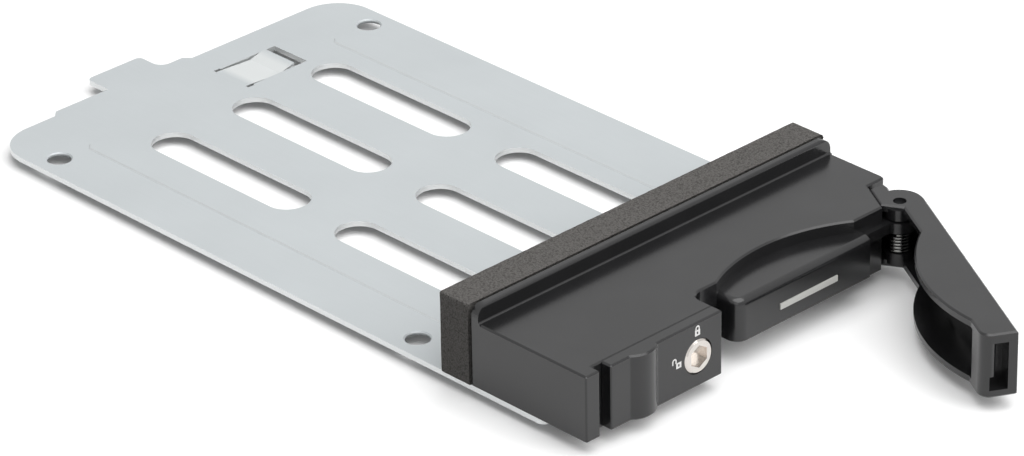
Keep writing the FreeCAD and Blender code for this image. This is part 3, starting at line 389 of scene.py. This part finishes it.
def milky_plastic():
    """Milky polycarbonate light guide: smooth, glossy and a little cloudy inside."""
    made, tree, where = new_material("Milky polycarbonate")
    cloud_mm = 2.5
    glow_depth = 2 * MM
    cloud = add(tree, "ShaderNodeTexNoise", {
        "Vector": where, "Scale": per_metre(cloud_mm), "Detail": 2.0})
    shade = add(tree, "ShaderNodeMapRange", {
        "Value": cloud.outputs["Fac"], "To Min": 0.92, "To Max": 1.04})
    tone = add(tree, "ShaderNodeHueSaturation", {
        "Color": colours().light, "Value": shade.outputs["Result"]})
    shader = add(tree, "ShaderNodeBsdfPrincipled", {
        "Base Color": tone.outputs["Color"], "Roughness": 0.22, "IOR": 1.58,
        "Subsurface Weight": 0.25, "Subsurface Radius": (glow_depth, glow_depth, glow_depth),
        "Subsurface Scale": 0.5})
    add(tree, "ShaderNodeOutputMaterial", {"Surface": shader.outputs["BSDF"]})
    return made


def printed_ink():
    """Pad-printed ink: flat white, thin and slightly uneven."""
    made, tree, where = new_material("Pad-printed ink")
    speckle_mm = 0.2
    speckle = add(tree, "ShaderNodeTexNoise", {
        "Vector": where, "Scale": per_metre(speckle_mm), "Detail": 2.0})
    shade = add(tree, "ShaderNodeMapRange", {
        "Value": speckle.outputs["Fac"], "To Min": 0.93, "To Max": 1.0})
    tone = add(tree, "ShaderNodeHueSaturation", {
        "Color": colours().ink, "Value": shade.outputs["Result"]})
    shader = add(tree, "ShaderNodeBsdfPrincipled", {
        "Base Color": tone.outputs["Color"], "Roughness": 0.6})
    add(tree, "ShaderNodeOutputMaterial", {"Surface": shader.outputs["BSDF"]})
    return made


def white_paper():
    """White paper with a faint fibre. The camera and mirrors see it white with the tray's shadow;
    what it throws back on the tray is weaker, as in a room with dark walls."""
    made, tree, where = new_material("White paper")
    c = colours()
    fibre_mm = 1.5
    path = add(tree, "ShaderNodeLightPath").outputs
    seen = add(tree, "ShaderNodeMath", {
        0: path["Is Camera Ray"], 1: path["Is Glossy Ray"]}, operation="MAXIMUM")
    seen = add(tree, "ShaderNodeMath", {
        0: seen.outputs["Value"], 1: path["Is Transmission Ray"]}, operation="MAXIMUM")
    fibre = add(tree, "ShaderNodeTexNoise", {
        "Vector": where, "Scale": per_metre(fibre_mm), "Detail": 3.0})
    bump = add(tree, "ShaderNodeBump", {
        "Height": fibre.outputs["Fac"], "Strength": 0.02, "Distance": 0.02 * MM})
    paper = add(tree, "ShaderNodeBsdfDiffuse", {
        "Color": c.floor, "Normal": bump.outputs["Normal"]})
    plain = add(tree, "ShaderNodeEmission", {"Color": c.white, "Strength": 1.0})
    # far from the tray, past its shadow, the paper fades to plain white
    far = add(tree, "ShaderNodeVectorMath", {0: where}, operation="LENGTH")
    fade = add(tree, "ShaderNodeMapRange", {
        "Value": far.outputs["Value"], "From Min": stage().shadow_reach,
        "From Max": stage().white_reach, "To Min": stage().paper_glow, "To Max": 1.0})
    bright = add(tree, "ShaderNodeMixShader", {
        "Fac": fade.outputs["Result"], 1: paper.outputs["BSDF"], 2: plain.outputs["Emission"]})
    weak = add(tree, "ShaderNodeBsdfDiffuse", {"Color": c.floor_bounce})
    both = add(tree, "ShaderNodeMixShader", {
        "Fac": seen.outputs["Value"], 1: weak.outputs["BSDF"], 2: bright.outputs["Shader"]})
    add(tree, "ShaderNodeOutputMaterial", {"Surface": both.outputs["Shader"]})
    return made


def paint_node(name, material):
    """Give a carried-over solid its finish."""
    NODES[name].material_slots[0].material = material


# Meshes

def new_piece(name, mesh, material):
    """A finished mesh as a piece of the scene."""
    mesh.name = name
    mesh.materials.clear()
    mesh.materials.append(material)
    made = bpy.data.objects.new(name, mesh)
    bpy.context.scene.collection.objects.link(made)
    return made


def baked_copy(holder):
    """The evaluated mesh of an object as a plain mesh; the object is then removed."""
    bpy.context.view_layer.update()
    graph = bpy.context.evaluated_depsgraph_get()
    mesh = bpy.data.meshes.new_from_object(holder.evaluated_get(graph), depsgraph=graph)
    bpy.data.objects.remove(holder)
    return mesh


def coil_tree():
    """Geometry nodes for a wire spring: a coil with a straight leg at each end."""
    name = "Wire spring"
    if name in bpy.data.node_groups:
        return bpy.data.node_groups[name]
    tree = bpy.data.node_groups.new(name, "GeometryNodeTree")
    for label, kind in (("Turns", "Float"), ("Coil Radius", "Float"), ("Coil Height", "Float"),
                        ("Wire Radius", "Float"), ("First Leg", "Vector"),
                        ("Last Root", "Vector"), ("Last Leg", "Vector"),
                        ("Material", "Material")):
        tree.interface.new_socket(label, in_out="INPUT", socket_type="NodeSocket" + kind)
    tree.interface.new_socket("Geometry", in_out="OUTPUT", socket_type="NodeSocketGeometry")
    given = add(tree, "NodeGroupInput").outputs
    coil = add(tree, "GeometryNodeCurveSpiral", {
        "Resolution": 40, "Rotations": given["Turns"], "Start Radius": given["Coil Radius"],
        "End Radius": given["Coil Radius"], "Height": given["Coil Height"]})
    root = add(tree, "ShaderNodeCombineXYZ", {"X": given["Coil Radius"]})
    first = add(tree, "GeometryNodeCurvePrimitiveLine", {
        "Start": root.outputs["Vector"], "End": given["First Leg"]})
    last = add(tree, "GeometryNodeCurvePrimitiveLine", {
        "Start": given["Last Root"], "End": given["Last Leg"]})
    together = add(tree, "GeometryNodeJoinGeometry")
    for source in (last, first, coil):
        tree.links.new(source.outputs["Curve"], together.inputs["Geometry"])
    ring = add(tree, "GeometryNodeCurvePrimitiveCircle", {
        "Resolution": 12, "Radius": given["Wire Radius"]})
    tube = add(tree, "GeometryNodeCurveToMesh", {
        "Curve": together.outputs["Geometry"], "Profile Curve": ring.outputs["Curve"],
        "Fill Caps": True})
    smooth = add(tree, "GeometryNodeSetShadeSmooth", {"Geometry": tube.outputs["Mesh"]})
    real = add(tree, "GeometryNodeRealizeInstances", {"Geometry": smooth.outputs["Geometry"]})
    finish = add(tree, "GeometryNodeSetMaterial", {
        "Geometry": real.outputs["Geometry"], "Material": given["Material"]})
    add(tree, "NodeGroupOutput", {"Geometry": finish.outputs["Geometry"]})
    return tree


def wire_coil(name, material, values):
    """A coil along its own Z, starting on its own X axis, as a plain mesh."""
    holder = bpy.data.objects.new(name + "_holder", bpy.data.meshes.new(name + "_holder"))
    bpy.context.scene.collection.objects.link(holder)
    tree = coil_tree()
    modifier = holder.modifiers.new("spring", "NODES")
    modifier.node_group = tree
    given = {item.name: item.identifier for item in tree.interface.items_tree
             if item.item_type == "SOCKET" and item.in_out == "INPUT"}
    for label, value in dict(values, Material=material).items():
        modifier[given[label]] = value
    return baked_copy(holder)


def squared_strip():
    """A copy of the foam's solid, cut off squarer at its upper left end than at its right."""
    corner = sizes().foam_corner
    squareness = 0.4
    weld = 0.001 * MM
    mesh = NODES["foam_gasket"].data.copy()
    work = bmesh.new()
    work.from_mesh(mesh)
    bmesh.ops.remove_doubles(work, verts=work.verts, dist=weld)
    left = min(vertex.co.x for vertex in work.verts) + corner
    top = max(vertex.co.z for vertex in work.verts) - corner
    for vertex in work.verts:
        if vertex.co.x < left and vertex.co.z > top:
            vertex.co.x = left - corner * ((left - vertex.co.x) / corner) ** squareness
            vertex.co.z = top + corner * ((vertex.co.z - top) / corner) ** squareness
    work.to_mesh(mesh)
    work.free()
    return mesh


def wander(strip):
    """Move the strip's points a little inwards, in swells of a few millimetres and in fine crumbs,
    and its front further, which leaves a dark gap along the bezel."""
    s = sizes()
    facing_bezel = -0.7
    places = []
    for vertex in strip.vertices:
        swell = 0.5 + 0.5 * noise.noise(vertex.co / s.foam_swell)
        crumb = 0.5 + 0.5 * noise.noise(vertex.co / s.foam_crumb)
        depth = s.foam_sag * (swell + crumb) / 2
        if vertex.normal.y < facing_bezel:
            depth += s.foam_slack
        places.append(vertex.co - vertex.normal * depth)
    for vertex, where in zip(strip.vertices, places):
        vertex.co = where


def padlock(lifted):
    """Outlines of a padlock mark, one unit tall when shut: its body, its keyhole and the outer and
    inner side of its shackle, which a lifted one carries beside the body."""
    half, foot, top = 0.32, -0.5, 0.065
    key_half, key_foot, key_top = 0.1, -0.34, -0.1
    outer, inner = 0.27, 0.13
    steps = 12
    body = [(-half, foot), (half, foot), (half, top), (-half, top)]
    hole = [(-key_half, key_foot), (key_half, key_foot), (key_half, key_top), (-key_half, key_top)]
    middle, rise, free_end = (-0.54, 0.34, 0.02) if lifted else (0.0, 0.23, top)
    sides = []
    for radius in (outer, inner):
        turns = [math.pi * n / steps for n in range(steps + 1)]
        bow = [(middle + radius * math.cos(t), rise + radius * math.sin(t)) for t in turns]
        sides.append([(bow[0][0], top)] + bow + [(bow[-1][0], free_end)])
    return body, hole, sides


def mark_mesh(name, centre, tall, lifted, thick):
    """A padlock printed on the latch's face, as a thin solid."""
    body, hole, (outer, inner) = padlock(lifted)
    quads = []
    for rim, core in ((body + body[:1], hole + hole[:1]), (outer, inner)):
        for n in range(len(rim) - 1):
            quads.append((rim[n], rim[n + 1], core[n + 1], core[n]))
    spots = list(dict.fromkeys(spot for quad in quads for spot in quad))
    count = len(spots)
    points = [(centre[0] + x * tall, centre[1] - depth, centre[2] + z * tall)
              for depth in (0, thick) for x, z in spots]
    # the back on the latch, the front one ink thickness before it, and walls on the free edges
    back = [[spots.index(spot) for spot in quad] for quad in quads]
    edges = [(quad[n - 1], quad[n]) for quad in back for n in range(4)]
    faces = [quad[::-1] for quad in back]
    faces += [[n + count for n in quad] for quad in back]
    faces += [(b + count, a + count, a, b) for a, b in edges if (b, a) not in edges]
    mesh = bpy.data.meshes.new(name)
    mesh.from_pydata(points, [], faces)
    return mesh


# Operators

class TRAY_OT_plate(bpy.types.Operator):
    """Finish the sheet-steel plate and the screws, pin and cam"""
    bl_idname = "drive_tray.plate"
    bl_label = "Plate and fasteners"

    def execute(self, context):
        paint_node("tray_plate", zinc_sheet())
        zinc = plated_metal("Zinc-plated steel", colours().zinc, smooth=0.28, rough=0.42,
                            grain_mm=0.6)
        for name in ("plate_screws", "hinge_pin", "lock_cam", "cam_screw"):
            paint_node(name, zinc)
        return {"FINISHED"}


class TRAY_OT_mouldings(bpy.types.Operator):
    """Finish the bezel, the latch and the lever"""
    bl_idname = "drive_tray.mouldings"
    bl_label = "Mouldings"

    def execute(self, context):
        plastic = moulded_plastic()
        for name in ("bezel", "latch_slider", "lever"):
            paint_node(name, plastic)
        return {"FINISHED"}


class TRAY_OT_foam(bpy.types.Operator):
    """Make the foam strip with its uneven cut faces"""
    bl_idname = "drive_tray.foam"
    bl_label = "Foam strip"

    def execute(self, context):
        holder = bpy.data.objects.new("foam_holder", squared_strip())
        context.scene.collection.objects.link(holder)
        remesh = holder.modifiers.new("cells", "REMESH")
        remesh.mode = "VOXEL"
        remesh.voxel_size = sizes().foam_cell
        remesh.use_smooth_shade = True
        strip = baked_copy(holder)
        wander(strip)
        piece = new_piece("foam_strip", strip, open_foam())
        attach(piece, "tray")
        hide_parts("foam_gasket")
        return {"FINISHED"}


class TRAY_OT_springs(bpy.types.Operator):
    """Wind the lever's torsion spring and the latch's coil spring"""
    bl_idname = "drive_tray.springs"
    bl_label = "Springs"

    def execute(self, context):
        wire = plated_metal("Drawn spring wire", colours().wire, smooth=0.12, rough=0.22,
                            grain_mm=0.4)
        self.lever_spring(sizes(), wire)
        self.latch_coil(sizes(), wire)
        return {"FINISHED"}

    def lever_spring(self, s, wire):
        radius = s.torsion_radius
        sweep = s.torsion_turns * math.tau + math.pi - s.lever_open
        rise = s.torsion_pitch * sweep / math.tau
        end = Vector((radius * math.cos(sweep), radius * math.sin(sweep), rise))
        along = Vector((-math.sin(sweep), math.cos(sweep), 0))
        mesh = wire_coil("torsion", wire, {
            "Turns": sweep / math.tau, "Coil Radius": radius, "Coil Height": rise,
            "Wire Radius": s.torsion_wire / 2, "First Leg": (radius, -s.torsion_leg, 0),
            "Last Root": end, "Last Leg": end + along * s.torsion_foot})
        base = Vector(s.hinge) + Vector((0, 0, s.torsion_base))
        turned = Matrix.Rotation(math.pi * 1.5 + s.lever_open, 4, "Z")
        mesh.transform(Matrix.Translation(base) @ turned)
        torsion = new_piece("lever_spring", mesh, wire)
        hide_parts("torsion_spring")
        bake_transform(torsion)

    def latch_coil(self, s, wire):
        thick = s.latch_wire
        free = s.latch_length - thick
        end = Vector((s.latch_radius, 0, free))
        mesh = wire_coil("latch", wire, {
            "Turns": float(s.latch_turns), "Coil Radius": s.latch_radius, "Coil Height": free,
            "Wire Radius": thick / 2, "First Leg": (s.latch_radius, -thick, 0),
            "Last Root": end, "Last Leg": end + Vector((0, thick, 0))})
        seat = Vector(s.latch_seat) + Vector((thick / 2, 0, 0))
        mesh.transform(Matrix.Translation(seat) @ Matrix.Rotation(math.pi / 2, 4, "Y"))
        coil = new_piece("latch_coil", mesh, wire)
        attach(coil, "tray")
        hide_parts("latch_spring")
        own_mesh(coil)


class TRAY_OT_lock(bpy.types.Operator):
    """Finish the lock and print its two marks"""
    bl_idname = "drive_tray.lock"
    bl_label = "Lock and marks"

    def execute(self, context):
        s = sizes()
        nickel = plated_metal("Bright nickel plate", colours().nickel, smooth=0.12, rough=0.24,
                              grain_mm=0.5)
        paint_node("lock_cylinder", nickel)
        ink = printed_ink()
        for name, where, lifted in (("locked_mark", s.shut_mark, False),
                                    ("unlocked_mark", s.open_mark, True)):
            mesh = mark_mesh(name, where, s.mark_height, lifted, s.ink)
            piece = new_piece(name, mesh, ink)
            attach(piece, "slider")
        return {"FINISHED"}


class TRAY_OT_light(bpy.types.Operator):
    """Finish the light guide"""
    bl_idname = "drive_tray.light"
    bl_label = "Light guide"

    def execute(self, context):
        paint_node("light_pipe", milky_plastic())
        return {"FINISHED"}


class TRAY_OT_stage(bpy.types.Operator):
    """Set up the floor, the soft light and the camera"""
    bl_idname = "drive_tray.stage"
    bl_label = "Stage"

    def execute(self, context):
        scene = context.scene
        scene.view_settings.view_transform = "Standard"
        self.floor(scene)
        self.room(scene)
        self.lamps(scene)
        self.camera(scene)
        return {"FINISHED"}

    def floor(self, scene):
        reach = stage().floor_reach
        low = CAD_BOX[0][2] - stage().floor_gap
        corners = [(x * reach, y * reach, low) for x, y in ((-1, -1), (1, -1), (1, 1), (-1, 1))]
        mesh = bpy.data.meshes.new("floor")
        mesh.from_pydata(corners, [], [(0, 1, 2, 3)])
        mesh.materials.append(white_paper())
        floor = bpy.data.objects.new("floor", mesh)
        scene.collection.objects.link(floor)

    def room(self, scene):
        world = bpy.data.worlds.new("Studio")
        scene.world = world
        world.use_nodes = True
        tree = world.node_tree
        tree.nodes.clear()
        # a dim room for matt surfaces, a brighter one for mirrors, and white for the camera
        path = add(tree, "ShaderNodeLightPath").outputs
        soft, gloss, plain = (
            add(tree, "ShaderNodeBackground", {"Color": colours().white, "Strength": strength})
            for strength in (stage().room_light, stage().room_gloss, 1.0))
        lit = add(tree, "ShaderNodeMixShader", {
            "Fac": path["Is Glossy Ray"], 1: soft.outputs["Background"],
            2: gloss.outputs["Background"]})
        seen = add(tree, "ShaderNodeMath", {
            0: path["Is Camera Ray"], 1: path["Is Transmission Ray"]}, operation="MAXIMUM")
        both = add(tree, "ShaderNodeMixShader", {
            "Fac": seen.outputs["Value"], 1: lit.outputs["Shader"],
            2: plain.outputs["Background"]})
        add(tree, "ShaderNodeOutputWorld", {"Surface": both.outputs["Shader"]})

    def lamps(self, scene):
        for name, where, aim, width, power, shows in LAMPS:
            lamp = bpy.data.lights.new(name, "AREA")
            lamp.shape = "SQUARE"
            lamp.size = width
            lamp.energy = power
            made = bpy.data.objects.new(name, lamp)
            made.location = where
            towards = Vector(aim) - Vector(where)
            made.rotation_euler = towards.to_track_quat("-Z", "Y").to_euler()
            made.visible_glossy = shows
            scene.collection.objects.link(made)

    def camera(self, scene):
        view = stage()
        lens = bpy.data.cameras.new("camera")
        lens.sensor_width = view.sensor
        lens.lens = view.lens
        lens.clip_end = 20.0
        made = bpy.data.objects.new("camera", lens)
        scene.collection.objects.link(made)
        level = Vector((math.sin(view.around), -math.cos(view.around), 0))
        back = level * math.cos(view.above) + Vector((0, 0, math.sin(view.above)))
        right = Vector((math.cos(view.around), math.sin(view.around), 0))
        up = back.cross(right)
        across = right * math.cos(view.roll) + up * math.sin(view.roll)
        upward = up * math.cos(view.roll) - right * math.sin(view.roll)
        turned = Matrix((across, upward, back)).transposed().to_4x4()
        made.matrix_world = Matrix.Translation(view.camera) @ turned
        scene.camera = made


class TRAY_PT_panel(bpy.types.Panel):
    """Lists the steps that finish the tray, and their settings"""
    bl_idname = "TRAY_PT_panel"
    bl_label = "Drive tray"
    bl_space_type = "VIEW_3D"
    bl_region_type = "UI"
    bl_category = "Drive tray"

    def draw(self, context):
        for step in STEPS:
            self.layout.operator(step.bl_idname)
        for group in (sizes(), colours(), stage()):
            box = self.layout.box()
            for key in group.bl_rna.properties.keys():
                if key not in ("name", "rna_type"):
                    box.prop(group, key)


STEPS = (TRAY_OT_plate, TRAY_OT_mouldings, TRAY_OT_foam, TRAY_OT_springs, TRAY_OT_lock,
         TRAY_OT_light, TRAY_OT_stage)
CLASSES = (TraySizes, TrayColours, TrayStage) + STEPS + (TRAY_PT_panel,)


def register():
    for item in CLASSES:
        bpy.utils.register_class(item)
    bpy.types.Scene.tray_sizes = PointerProperty(type=TraySizes)
    bpy.types.Scene.tray_colours = PointerProperty(type=TrayColours)
    bpy.types.Scene.tray_stage = PointerProperty(type=TrayStage)


def unregister():
    del bpy.types.Scene.tray_stage
    del bpy.types.Scene.tray_colours
    del bpy.types.Scene.tray_sizes
    for item in reversed(CLASSES):
        bpy.utils.unregister_class(item)


def main():
    register()
    bpy.ops.drive_tray.plate()
    bpy.ops.drive_tray.mouldings()
    bpy.ops.drive_tray.foam()
    bpy.ops.drive_tray.springs()
    bpy.ops.drive_tray.lock()
    bpy.ops.drive_tray.light()
    bpy.ops.drive_tray.stage()


if __name__ == "__main__":
    main()
